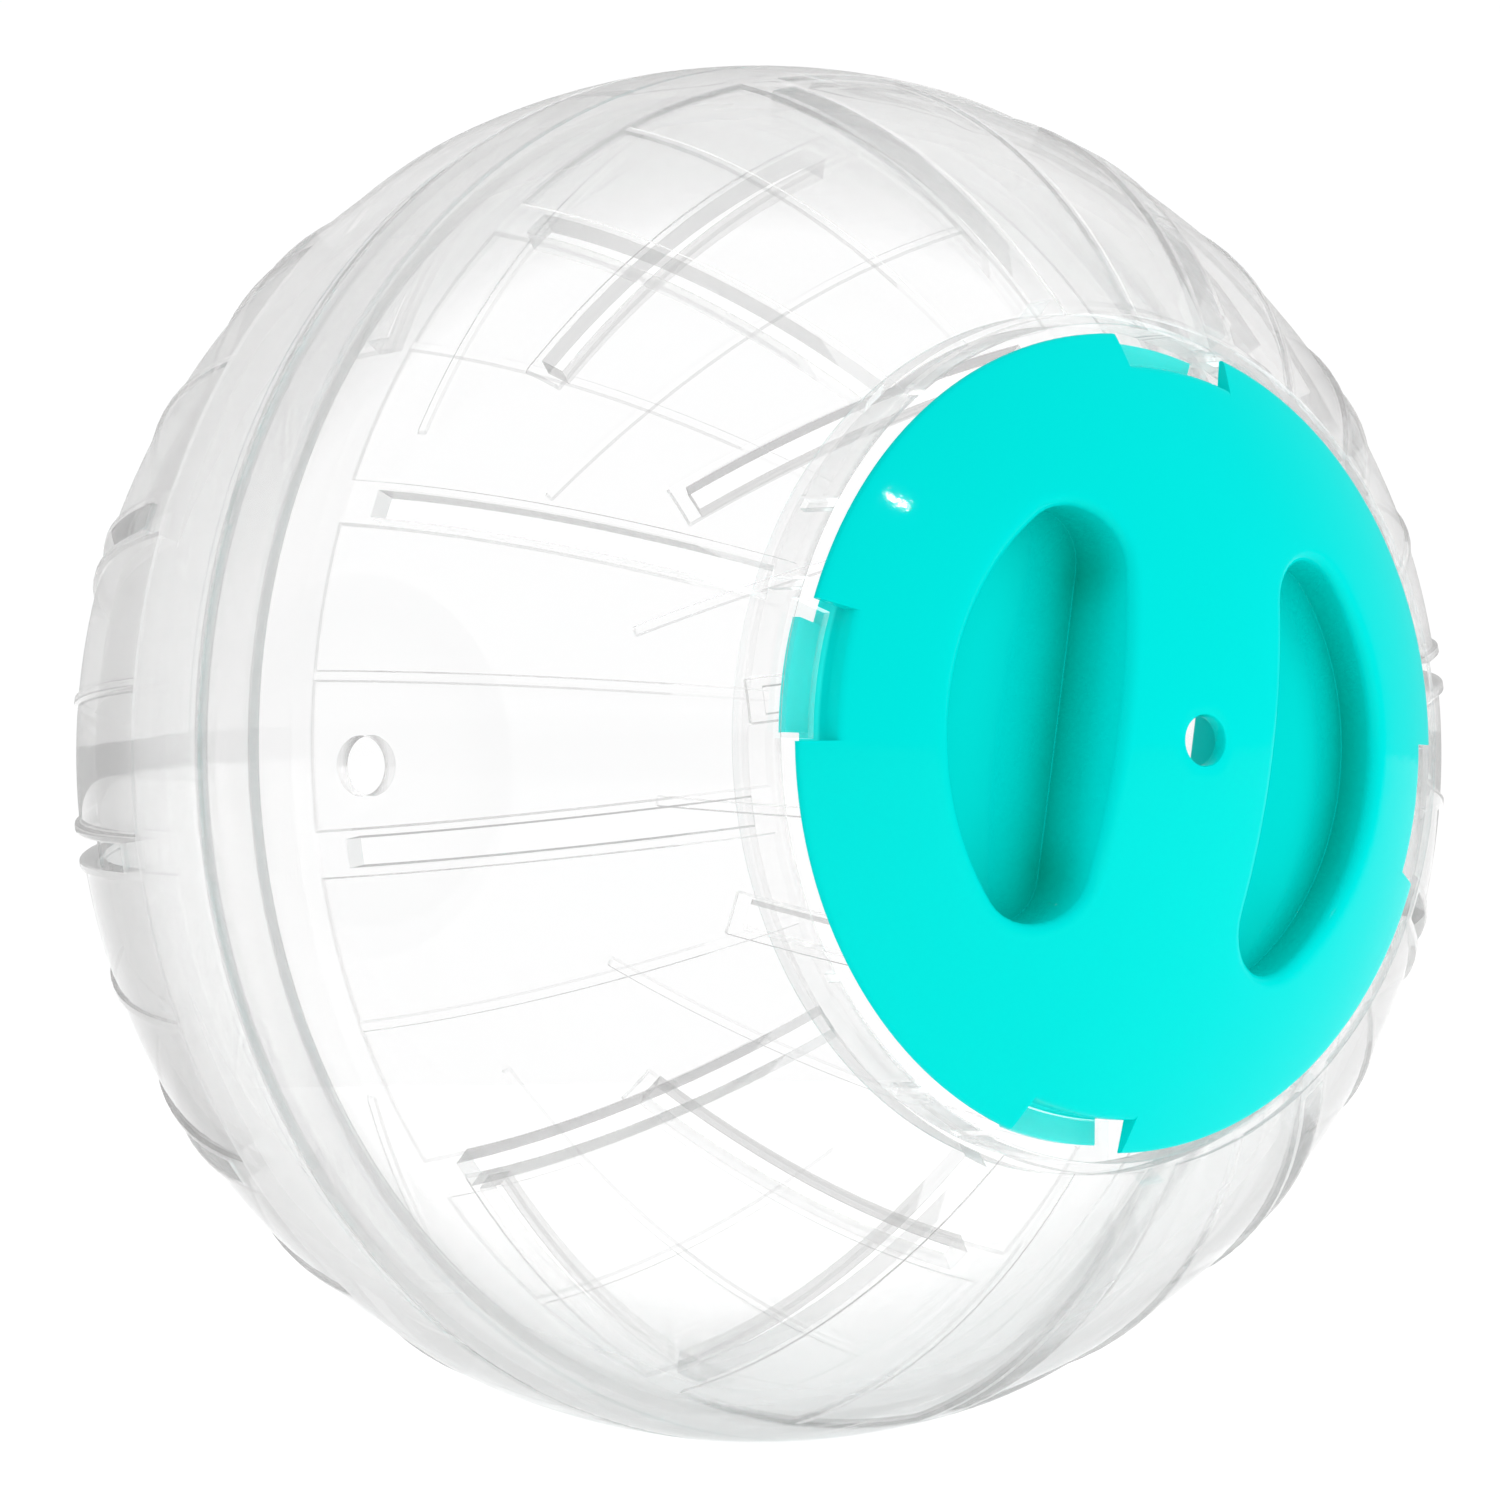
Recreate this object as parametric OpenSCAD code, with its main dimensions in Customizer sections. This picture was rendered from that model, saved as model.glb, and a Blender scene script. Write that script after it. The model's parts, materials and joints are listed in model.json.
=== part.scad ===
// Hamster ball: a clear rolling ball in two halves with a turning, twist-lock door.
// Millimetres. The origin is the lowest point of the middle band, on which the ball rolls,
// the ball's centre is straight above it, the door faces -Y and +Z is up.

/* [Ball] */
// Diameter over the plain middle band
ball_d = 145; // [130:1:160]
// Wall thickness of the clear halves
wall = 2; // [1.6:0.1:2.4]
// Step from the middle band down to the slotted zones
zone_drop = 0.6; // [0.3:0.1:0.8]
// Front edge of the middle band, as a share of the radius
band_front_share = 0.205; // [0.17:0.005:0.24]
// Rear edge of the middle band, as a share of the radius
band_rear_share = 0.225; // [0.19:0.005:0.26]

/* [Seam] */
// Length of the rear half's tongue inside the front half
lap = 6.8; // [5:0.2:8]
// Radial clearance of the tongue
lap_gap = 0.3; // [0.2:0.05:0.4]

/* [Air slots] */
// Number of air slots in each half
slots = 12; // [8:2:14]
// Width of one air slot
slot_w = 3; // [2.4:0.1:3.6]
// Width over the raised frame of a slot
frame_w = 4.8; // [4.4:0.1:5.4]
// Angle of the first slot, seen from outside the door
slot_turn = 8.7; // [0:0.1:30]
// Width of the thin ribs between the slots
rib_w = 1; // [0.8:0.1:1.4]
// Height of the thin ribs
rib_h = 0.4; // [0.2:0.1:0.5]

/* [Door] */
// Diameter of the door
door_d = 84.6; // [80:0.2:86]
// Radius of the door's dome, which is a little rounder than the ball
door_dome_r = 70.1; // [68:0.1:72]
// Height of the door's middle over the full sphere
door_rise = 0.9; // [0:0.1:1.4]
// Wall thickness of the door
door_wall = 1.8; // [1.6:0.1:2]
// Thickness of the door's rim
rim_t = 0.7; // [0.6:0.1:1]
// Angle that one lug of the collar covers
lug_angle = 19.4; // [16:0.2:22]
// Angle of the middle of the first lug
lug_turn = 79.6; // [70:0.2:90]

/* [Finger grip] */
// Width of the grip bar between the two finger recesses
bar_w = 20.2; // [16:0.2:22]
// Radius of the recesses' curved side
recess_r = 28.2; // [27:0.2:30]
// Corner radius of the recesses
recess_corner = 6.4; // [5.6:0.2:8]
// Depth of the recesses' flat floor under the edge of the grip bar
recess_depth = 10.8; // [8:0.2:11.4]
// Tilt of the grip bar
grip_tilt = -10; // [-20:1:20]

/* [Poles] */
// Diameter of the hole in the middle of the door
door_hole_d = 5.2; // [4:0.1:7]
// Diameter of the hole in the middle of the rear
rear_hole_d = 6.4; // [4:0.1:8]
// Diameter of the flat face at the rear pole
rear_flat_d = 42; // [30:1:50]

/* [Hidden] */
$fn = 120;
R = ball_d / 2;                        // band
Rz = R - zone_drop;                    // slotted zones
Ri = Rz - wall;                        // inside
zf = R * band_front_share;             // band edges along the axis
zr = -R * band_rear_share;
seam = -2.6;                           // edge of the front half
rt = R - 1.75;                         // tongue
slot_lat = [14.9, 50.4];               // latitudes of the ends of a front slot's opening
rear_slot_lat = [16.6, 50.4];          // and of a rear slot's
frame_lat = [asin(zf / R) - 0.4, 51.8];
door_r = door_d / 2;
collar_ri = door_r + 1;                // collar round the door opening
collar_ro = collar_ri + 1.2;
collar_top = sqrt(R * R - pow(collar_ri + 0.6, 2)) + 0.1;
collar_bottom = collar_top - 6.9;
skirt_ro = door_r - 3.8;               // ring under the door that carries the tabs
skirt_ri = skirt_ro - 1.6;
dome_z = R + door_rise - door_dome_r;  // centre of the door's dome
rim_z0 = dome_z + sqrt(pow(door_dome_r - door_wall, 2) - skirt_ro * skirt_ro);
rim_z1 = dome_z + sqrt(door_dome_r * door_dome_r - door_r * door_r) - rim_t;
lug_t = 1.15;                          // thickness of the flat lugs
lug_top = collar_top - 0.3;            // they lie just under the door's rim
lug_ri = skirt_ro + 0.4;
tab_t = 1.2;                           // thickness of the flat tabs
tab_top = lug_top - lug_t - 0.3;       // they lie just under the lugs
tab_ro = door_r - 0.8;
tab_angle = lug_angle - 2.8;
skirt_bottom = tab_top - tab_t - 0.3;
recess_z = dome_z + sqrt(door_dome_r * door_dome_r - pow(bar_w / 2, 2)) - recess_depth;   // floor of the recesses
flat_z = sqrt(Rz * Rz - pow(rear_flat_d / 2, 2));

module placed() { translate([0, 0, R]) rotate([90, 0, 0]) children(); }

// prism of one sector, from angle a0 to a1 (under 90 degrees), out to radius r
module sector(a0, a1, r, z0, z1) {
  translate([0, 0, z0]) linear_extrude(z1 - z0)
    polygon([[0, 0], [r * cos(a0), r * sin(a0)],
      [r * 1.4 * cos((a0 + a1) / 2), r * 1.4 * sin((a0 + a1) / 2)],
      [r * cos(a1), r * sin(a1)]]);
}

// half section between two radii of a sphere and two latitudes
module zone_section(r0, r1, a0, a1) {
  intersection() {
    difference() { circle(r1); circle(r0); }
    polygon([[0, 0], [100 * cos(a0), 100 * sin(a0)],
      [140 * cos((a0 + a1) / 2), 140 * sin((a0 + a1) / 2)],
      [100 * cos(a1), 100 * sin(a1)]]);
  }
}

// plates in the meridian planes, n of them round the full circle
module plates(n, w, turn) {
  for (i = [0 : n / 2 - 1]) rotate([0, 0, turn + i * 360 / n])
    translate([-R - 5, -w / 2, 0]) cube([2 * R + 10, w, R + 5]);
}

// raised frames of the slots and the thin ribs, for a half that opens towards +z
module frames() {
  intersection() {
    plates(slots, frame_w, slot_turn);
    rotate_extrude() zone_section(Ri + 0.7, R - 0.05, frame_lat[0], frame_lat[1]);
  }
}
module ribs(lat_end) {
  intersection() {
    plates(slots, rib_w, slot_turn + 180 / slots);
    rotate_extrude() zone_section(Ri + 0.7, Rz + rib_h, frame_lat[0], lat_end);
  }
}
module slot_cuts(lat) {
  intersection() {
    plates(slots, slot_w, slot_turn);
    rotate_extrude() zone_section(Ri - 4, R + 4, lat[0], lat[1]);
  }
}

// front half: band, slotted zone and the collar with its four lugs and stops
module front_section() {
  difference() {
    intersection() {
      union() {
        intersection() { circle(R); translate([0, seam]) square([R, zf - seam]); }
        intersection() { circle(Rz); translate([0, zf - 1]) square([R, R]); }
      }
      union() {
        translate([0, seam]) square([R, R / 2]);
        translate([collar_ri + 0.5, R / 3]) square([R, R]);
      }
    }
    circle(Ri);
    translate([0, seam - 1]) square([rt + lap_gap, lap + 1.3]);
  }
  translate([collar_ri, collar_bottom]) square([collar_ro - collar_ri, collar_top - collar_bottom]);
}
module lugs() {
  intersection() {
    rotate_extrude()
      translate([lug_ri, lug_top - lug_t]) square([collar_ri + 0.5 - lug_ri, lug_t]);
    for (i = [0 : 3]) rotate([0, 0, 90 * i])
      sector(lug_turn - lug_angle / 2, lug_turn + lug_angle / 2, R, R / 2, R);
  }
}
module stops() {
  for (i = [0 : 3]) rotate([0, 0, 90 * i + lug_turn]) {
    for (a = [-12.1, -24.3]) rotate([0, 0, a])
      translate([door_r + 0.3, -0.6, collar_bottom + 1]) cube([1.2, 1.2, collar_top - collar_bottom - 1.3]);
    rotate([0, 0, -45.9])
      translate([door_r + 0.35, -0.5, collar_top - 2.4]) cube([1.2, 1, 2.1]);
  }
}
module front_shell() {
  color([0.88, 0.92, 0.94, 0.4]) placed() difference() {
    union() {
      rotate_extrude() front_section();
      frames();
      ribs(52.2);
      lugs();
      stops();
    }
    slot_cuts(slot_lat);
  }
}

// rear half: tongue, band, slotted zone and the flat rear pole with its hole
module rear_section() {
  difference() {
    union() {
      intersection() { circle(R); translate([0, seam - 0.25 - R]) square([R, R]); translate([0, zr]) square([R, R]); }
      intersection() { circle(Rz); translate([0, -flat_z]) square([R, flat_z + zr + 1]); }
      translate([Ri - 4, seam - 4]) square([rt - Ri + 4, lap + 4]);
    }
    intersection() {
      circle(Ri);
      translate([0, -flat_z + wall]) square([R, flat_z - wall - 3 + seam]);
    }
    translate([0, seam - 3.1]) square([rt - 1.4, lap + 4]);
    translate([-1, -R - 1]) square([1 + rear_hole_d / 2, R]);
  }
}
module rear_shell() {
  color([0.88, 0.92, 0.94, 0.4]) placed() difference() {
    union() {
      rotate_extrude() rear_section();
      mirror([0, 0, 1]) frames();
      mirror([0, 0, 1]) ribs(60);
    }
    mirror([0, 0, 1]) slot_cuts(rear_slot_lat);
  }
}

// outline of a rounded half-moon on the +x side: straight side at x = b, curved side of radius r
function half_moon(b, r, c) =
  let (cx = b + c, cy = sqrt(pow(r - c, 2) - cx * cx), t = atan2(cy, cx))
  concat(
    [for (i = [0 : 20]) let (a = -t + 2 * t * i / 20) [r * cos(a), r * sin(a)]],
    [for (i = [1 : 12]) let (a = t + (180 - t) * i / 12) [cx + c * cos(a), cy + c * sin(a)]],
    [for (i = [0 : 11]) let (a = 180 + (180 - t) * i / 12) [cx + c * cos(a), -cy + c * sin(a)]]);
module recess_prisms(grow) {
  for (a = [0, 180]) rotate([0, 0, grip_tilt + a])
    translate([0, 0, recess_z - grow]) linear_extrude(R)
      polygon(half_moon(bar_w / 2 - grow, recess_r + grow, recess_corner + grow));
}
module dome(inset) { translate([0, dome_z]) circle(door_dome_r - inset); }
module door() {
  color([0, 0.9, 0.86]) placed() difference() {
    union() {
      // dome with the ring that carries the tabs
      rotate_extrude() {
        difference() {
          intersection() {
            difference() { dome(0); dome(door_wall); }
            translate([0, R / 2]) square([door_r, R]);
          }
          // the rim thins towards its edge
          polygon([[skirt_ro, rim_z0], [door_r, rim_z1], [door_r + 1, rim_z1], [door_r + 1, R / 3], [skirt_ro, R / 3]]);
        }
        difference() {
          translate([skirt_ri, skirt_bottom]) square([skirt_ro - skirt_ri, 20]);
          difference() { translate([0, R / 2]) square([R, R]); dome(door_wall / 2); }
        }
      }
      // tabs under the collar's lugs
      intersection() {
        rotate_extrude()
          translate([skirt_ri + 0.5, tab_top - tab_t]) square([tab_ro - skirt_ri - 0.5, tab_t]);
        for (i = [0 : 3]) rotate([0, 0, 90 * i])
          sector(lug_turn + 0.5 - tab_angle / 2, lug_turn + 0.5 + tab_angle / 2, R, R / 2, R);
      }
      // cups of the two finger recesses
      intersection() {
        rotate_extrude() intersection() { dome(door_wall / 2); square([R / 2, 2 * R]); }
        recess_prisms(1.6);
      }
    }
    recess_prisms(0);
    // notches in the rim above the tabs
    for (i = [0 : 3]) rotate([0, 0, 90 * i]) difference() {
      sector(lug_turn - lug_angle / 2 - 0.4, lug_turn + lug_angle / 2 + 0.4, R, lug_top - 0.3, R + 1);
      cylinder(h = R + 2, r = lug_ri);
    }
    translate([0, 0, R / 2]) cylinder(h = R, r = door_hole_d / 2);
  }
}

rear_shell();
front_shell();
door();
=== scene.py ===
import json
import math

import bmesh
import bpy
import numpy as np
from mathutils import Matrix, Vector
from mathutils.geometry import delaunay_2d_cdt

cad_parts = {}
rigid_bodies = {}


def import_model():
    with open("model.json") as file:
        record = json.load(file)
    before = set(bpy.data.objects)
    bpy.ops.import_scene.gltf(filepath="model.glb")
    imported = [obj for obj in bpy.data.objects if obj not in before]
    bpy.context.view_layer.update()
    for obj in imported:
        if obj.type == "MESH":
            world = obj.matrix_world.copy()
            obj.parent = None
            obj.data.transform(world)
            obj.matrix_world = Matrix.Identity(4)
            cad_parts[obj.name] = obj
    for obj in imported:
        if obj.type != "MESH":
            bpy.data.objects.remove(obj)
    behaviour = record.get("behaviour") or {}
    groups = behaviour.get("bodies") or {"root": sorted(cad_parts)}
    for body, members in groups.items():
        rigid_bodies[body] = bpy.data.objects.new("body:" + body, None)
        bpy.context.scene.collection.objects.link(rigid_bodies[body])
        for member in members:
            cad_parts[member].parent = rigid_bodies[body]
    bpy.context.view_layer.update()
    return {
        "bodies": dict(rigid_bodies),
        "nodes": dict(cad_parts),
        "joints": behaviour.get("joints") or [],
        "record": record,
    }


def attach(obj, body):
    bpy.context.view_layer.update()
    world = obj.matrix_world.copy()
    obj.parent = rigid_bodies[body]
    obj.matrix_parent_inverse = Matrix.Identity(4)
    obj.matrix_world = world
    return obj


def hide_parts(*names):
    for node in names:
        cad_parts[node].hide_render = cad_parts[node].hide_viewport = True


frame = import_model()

# ---------------------------------------------------------------------------
# Sizes in millimetres, in the ball's own frame: z runs from the ball's centre
# out through the door, x to the right and y up as seen from outside the door.
R = 72.5            # middle band
RZ = 71.9           # slotted zones
RI = 69.9           # inside
ZF = 14.8625        # front edge of the band
ZR = 16.3125        # rear edge of the band, on the other side
SEAM = -2.6
SLOT0 = 8.7         # angle of the first slot
FRAME_R = 72.45
RIB_R = 72.3
LUG = 79.6
GRIP = -10.0


def cosd(a):
    return math.cos(math.radians(a))


def sind(a):
    return math.sin(math.radians(a))


def world(p):
    """ball frame in mm -> row frame in metres"""
    x, y, z = p
    return (x / 1000, -z / 1000, (y + R) / 1000)


class Soup:
    """vertices and faces of one piece, in the ball frame"""

    def __init__(self):
        self.v = []
        self.f = []

    def add(self, x, y, z):
        self.v.append((x, y, z))
        return len(self.v) - 1

    def polar(self, rho, phi, z):
        return self.add(rho * cosd(phi), rho * sind(phi), z)

    def face(self, *idx):
        out = []
        for i in idx:
            if not out or out[-1] != i:
                out.append(i)
        if len(out) > 1 and out[0] == out[-1]:
            out.pop()
        if len(out) > 2:
            self.f.append(out)

    def build(self, name, sharp=32.0):
        me = bpy.data.meshes.new(name)
        me.from_pydata([world(p) for p in self.v], [], self.f)
        bm = bmesh.new()
        bm.from_mesh(me)
        loose = [v for v in bm.verts if not v.link_faces]
        if loose:
            bmesh.ops.delete(bm, geom=loose, context="VERTS")
        bmesh.ops.recalc_face_normals(bm, faces=bm.faces)
        lim = math.radians(sharp)
        for f in bm.faces:
            f.smooth = True
        for e in bm.edges:
            e.smooth = not (len(e.link_faces) == 2 and e.calc_face_angle(0) > lim)
        open_edges = sum(1 for e in bm.edges if len(e.link_faces) != 2)
        bm.to_mesh(me)
        bm.free()
        me.validate()
        ob = bpy.data.objects.new(name, me)
        bpy.context.scene.collection.objects.link(ob)
        print(name, len(me.vertices), "vertices", len(me.polygons), "faces, open edges", open_edges)
        return ob


# ---------------------------------------------------------------------------
# The two clear halves: a closed section, turned round the axis. The raised
# frames and ribs are heights on its outer side, the slots are left out.
SLOT_U = [-3.2, -2.75, -2.55, -2.42, -2.32, -2.15, -1.66, -1.5, -0.5, 0.5, 1.5, 1.66, 2.15, 2.32, 2.42, 2.55, 2.75, 3.2]
RIB_U = [-1.3, -0.78, -0.62, -0.52, -0.42, -0.22, 0.22, 0.42, 0.52, 0.62, 0.78, 1.3]
FRAME_H = {1.5: 1, 1.66: 1, 2.15: 1, 2.32: 0.93, 2.42: 0.55, 2.55: 0.08, 2.75: 0, 3.2: 0, 0.5: 1}
RIB_H = {0.22: 1, 0.42: 0.92, 0.52: 0.5, 0.62: 0.08, 0.78: 0, 1.3: 0}
FILL = 5

COLS = []           # (kind, centre, value): value is an offset in mm, or a share of the way
for k in range(12):
    a = SLOT0 + 30 * k
    COLS += [("slot", a, u) for u in SLOT_U]
    COLS += [("fill", a, (i + 1) / (FILL + 1)) for i in range(FILL)]
    COLS += [("rib", a + 15, u) for u in RIB_U]
    COLS += [("fill2", a + 15, (i + 1) / (FILL + 1)) for i in range(FILL)]


def col_angles(rho):
    """the angle of every column on a row of that radius"""
    rho = max(rho, 36.0)

    def off(u):
        return math.degrees(math.asin(u / rho))

    out = []
    for kind, c, val in COLS:
        if kind in ("slot", "rib"):
            out.append(c + off(val))
        elif kind == "fill":
            a, b = c + off(3.2), c + 15 - off(1.3)
            out.append(a + (b - a) * val)
        else:
            a, b = c + off(1.3), c + 15 - off(3.2)
            out.append(a + (b - a) * val)
    return out


NCOL = len(COLS)


class Row:
    def __init__(self, rho, z, tag="", frame=0.0, rib=0.0, lat=None, foot=False):
        self.rho, self.z, self.tag = rho, z, tag
        self.frame, self.rib, self.lat, self.foot = frame, rib, lat, foot


def on(r, lat, **kw):
    return Row(r * cosd(lat), r * sind(lat), lat=lat, **kw)


def height(col, row, opening):
    """radius of the outer side at a column of a row with raised features"""
    kind, _, u = col
    r0 = math.hypot(row.rho, row.z)
    r = r0
    if kind == "slot":
        r = r0 + max(0.0, FRAME_R - r0) * FRAME_H[abs(u)] * row.frame
        edge = (row.tag in ("open", "first", "last") and abs(u) == 1.5) or (row.tag in ("first", "last") and abs(u) < 1.5)
        if edge and opening:
            r -= 0.1
    elif kind == "rib":
        r = r0 + max(0.0, RIB_R - r0) * RIB_H[abs(u)] * row.rib
    return r


def slot_rows(lat0, lat1, **kw):
    n = 12
    out = []
    for i in range(n + 1):
        tag = "first" if i == 0 else "last" if i == n else "open"
        out.append((lat0 + (lat1 - lat0) * i / n, tag))
    return out


def shell(name, outer, rest_a, inner, rest_b, flip, shifts=None, blocks=None, collar_rows=None):
    """outer: rows with features; rest_a: rows from there to the inside; inner: rows of the inside,
    in the order of the outer ones; rest_b: rows from the inside's first row back to the outer's first"""
    s = Soup()
    sgn = -1.0 if flip else 1.0

    def place(row, feature):
        ang = col_angles(row.rho)
        if row.tag == "collar" and shifts:
            for want in shifts:
                for i in range(4):
                    w = want + 90 * i
                    j = min(range(NCOL), key=lambda q: abs((ang[q] - w + 180) % 360 - 180))
                    ang[j] = w
        ids = []
        for c, a in zip(COLS, ang):
            if feature:
                r = height(c, row, True)
                if row.foot:
                    rho, z = row.rho, math.sqrt(r * r - row.rho ** 2)
                else:
                    k = r / math.hypot(row.rho, row.z)
                    rho, z = row.rho * k, row.z * k
            else:
                rho, z = row.rho, row.z
            ids.append(s.polar(rho, a, sgn * z))
        return ids, ang

    o = [place(r, True)[0] for r in outer]
    a = [place(r, False) for r in rest_a]
    i_ = [place(r, False)[0] for r in inner]
    b = [place(r, False)[0] for r in rest_b]
    seq = [(ids, r) for ids, r in zip(o, outer)] + [(x[0], r) for x, r in zip(a, rest_a)] \
        + [(ids, r) for ids, r in zip(reversed(i_), reversed(inner))] + [(ids, r) for ids, r in zip(b, rest_b)]
    skip = set()
    if blocks:
        for (ra, rb, ja, jb, depths, zfun) in blocks:
            for q in range(ra, rb):
                for j in range(ja, jb):
                    skip.add((len(o) + q, j))
    n = len(seq)

    def is_open(r0, r1, j):
        t0, t1 = r0.tag, r1.tag
        ok = ("first", "open", "last")
        if t0 not in ok or t1 not in ok:
            return False
        c0, c1 = COLS[j], COLS[(j + 1) % NCOL]
        return c0[0] == "slot" and c1[0] == "slot" and c0[1] == c1[1] and abs(c0[2]) <= 1.5 and abs(c1[2]) <= 1.5

    for q in range(n):
        (p, rp), (t, rt) = seq[q], seq[(q + 1) % n]
        for j in range(NCOL):
            if (q, j) in skip or is_open(rp, rt, j):
                continue
            j1 = (j + 1) % NCOL
            s.face(p[j], p[j1], t[j1], t[j])
    # the walls of the slots
    oi = [q for q, r in enumerate(outer) if r.tag in ("first", "open", "last")]
    ii = [q for q, r in enumerate(inner) if r.tag in ("first", "open", "last")]
    slot_cols = [j for j, c in enumerate(COLS) if c[0] == "slot" and abs(c[2]) <= 1.5]
    for j in slot_cols:
        u = COLS[j][2]
        if abs(u) == 1.5:
            for m in range(len(oi) - 1):
                s.face(o[oi[m]][j], o[oi[m + 1]][j], i_[ii[m + 1]][j], i_[ii[m]][j])
        if u < 1.5:
            for m in (0, -1):
                s.face(o[oi[m]][j], o[oi[m]][j + 1], i_[ii[m]][j + 1], i_[ii[m]][j])
    # blocks that stand out of the collar's inside
    if blocks:
        for (ra, rb, ja, jb, depths, zfun) in blocks:
            grid = {}
            for q in range(ra, rb + 1):
                for j in range(ja, jb + 1):
                    ids, ang = a[q]
                    grid[(q, j, 0)] = ids[j]
                    for d, rho in enumerate(depths):
                        if q in (ra, rb) or j in (ja, jb) or d == len(depths) - 1:
                            grid[(q, j, d + 1)] = s.polar(rho, ang[j], sgn * zfun(rho, rest_a[q].z))
            nd = len(depths)
            for j in range(ja, jb):
                for d in range(nd):
                    for q in (ra, rb):
                        s.face(grid[(q, j, d)], grid[(q, j + 1, d)], grid[(q, j + 1, d + 1)], grid[(q, j, d + 1)])
            for q in range(ra, rb):
                for d in range(nd):
                    for j in (ja, jb):
                        s.face(grid[(q, j, d)], grid[(q + 1, j, d)], grid[(q + 1, j, d + 1)], grid[(q, j, d + 1)])
                for j in range(ja, jb):
                    s.face(grid[(q, j, nd)], grid[(q, j + 1, nd)], grid[(q + 1, j + 1, nd)], grid[(q + 1, j, nd)])
    return s.build(name)


def front_half():
    kw = dict(frame=1.0, rib=1.0)
    outer = [Row(72.2, SEAM, **kw), Row(72.385, SEAM + 0.07, **kw), Row(72.45, SEAM + 0.25, **kw)]
    outer += [on(R, t, **kw) for t in (-1.0, 1.0, 3.0, 5.0, 7.0, 9.0, 10.6, 11.45)]
    outer += [on(R - 0.03, 11.68, **kw), on(R - 0.12, 11.8, **kw), on(R - 0.48, 11.88, **kw), on(RZ, 12.05, **kw)]
    outer += [on(RZ, t, **kw) for t in (12.5, 13.6, 14.76)]
    lats = slot_rows(14.9, 50.4)
    outer += [on(RZ, t, tag=g, **kw) for t, g in lats]
    outer += [on(RZ, t, **kw) for t in (50.54, 51.1)]
    outer += [Row(44.5, math.sqrt(RZ ** 2 - 44.5 ** 2), foot=True, **kw)]
    top, bot = 57.8, 50.9
    rest = [Row(44.5, top - 0.28), Row(44.42, top - 0.08), Row(44.2, top), Row(43.6, top, "collar"), Row(43.38, top - 0.08, "collar"),
            Row(43.3, top - 0.3, "collar"), Row(43.3, top - 1.45, "collar"), Row(43.3, 55.4, "collar"), Row(43.3, 51.9, "collar"),
            Row(43.3, bot + 0.2, "collar"), Row(43.5, bot), Row(44.3, bot), Row(44.5, bot + 0.2), Row(44.5, 53.2)]
    inner = [Row(math.sqrt(RI ** 2 - 4.5 ** 2), 4.5), on(RI, 5.0), on(RI, 8.0), on(RI, 11.0), on(RI, 13.0), on(RI, 14.76)]
    inner += [on(RI, t, tag=g) for t, g in lats]
    back = [Row(70.2, 4.5), Row(70.9, 4.5), Row(71.05, 4.35), Row(71.05, 1.0), Row(71.05, SEAM + 0.1), Row(71.15, SEAM)]

    def lug(rho, z):
        # the inner edge of a lug is slightly rounded
        return z + (0.14 if z < 57.0 else -0.14) * (rho < 38.95)

    def same(rho, z):
        return z

    shifts = [LUG - 9.7, LUG + 9.7]
    h = math.degrees(math.asin(0.6 / 43.3))
    hb = math.degrees(math.asin(0.5 / 43.3))
    shifts += [LUG - 12.1 - h, LUG - 12.1 + h, LUG - 24.3 - h, LUG - 24.3 + h, LUG - 45.9 - hb, LUG - 45.9 + hb]
    ang = col_angles(43.3)

    def col(w):
        return min(range(NCOL), key=lambda q: abs((ang[q] - w + 180) % 360 - 180))

    blocks = []
    for i in range(4):
        t = 90 * i
        blocks.append((5, 6, col(LUG - 9.7 + t), col(LUG + 9.7 + t), [41.8, 40.4, 39.04, 38.9], lug))
        for m in (-12.1, -24.3):
            blocks.append((5, 8, col(LUG + m - h + t), col(LUG + m + h + t), [42.6], same))
        blocks.append((5, 7, col(LUG - 45.9 - hb + t), col(LUG - 45.9 + hb + t), [42.65], same))
    # columns wrap round at 0 degrees, so a block never straddles the first column
    blocks = [b for b in blocks if b[2] < b[3]]
    return shell("front_clear_half", outer, rest, inner, back, False, shifts, blocks)


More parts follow.
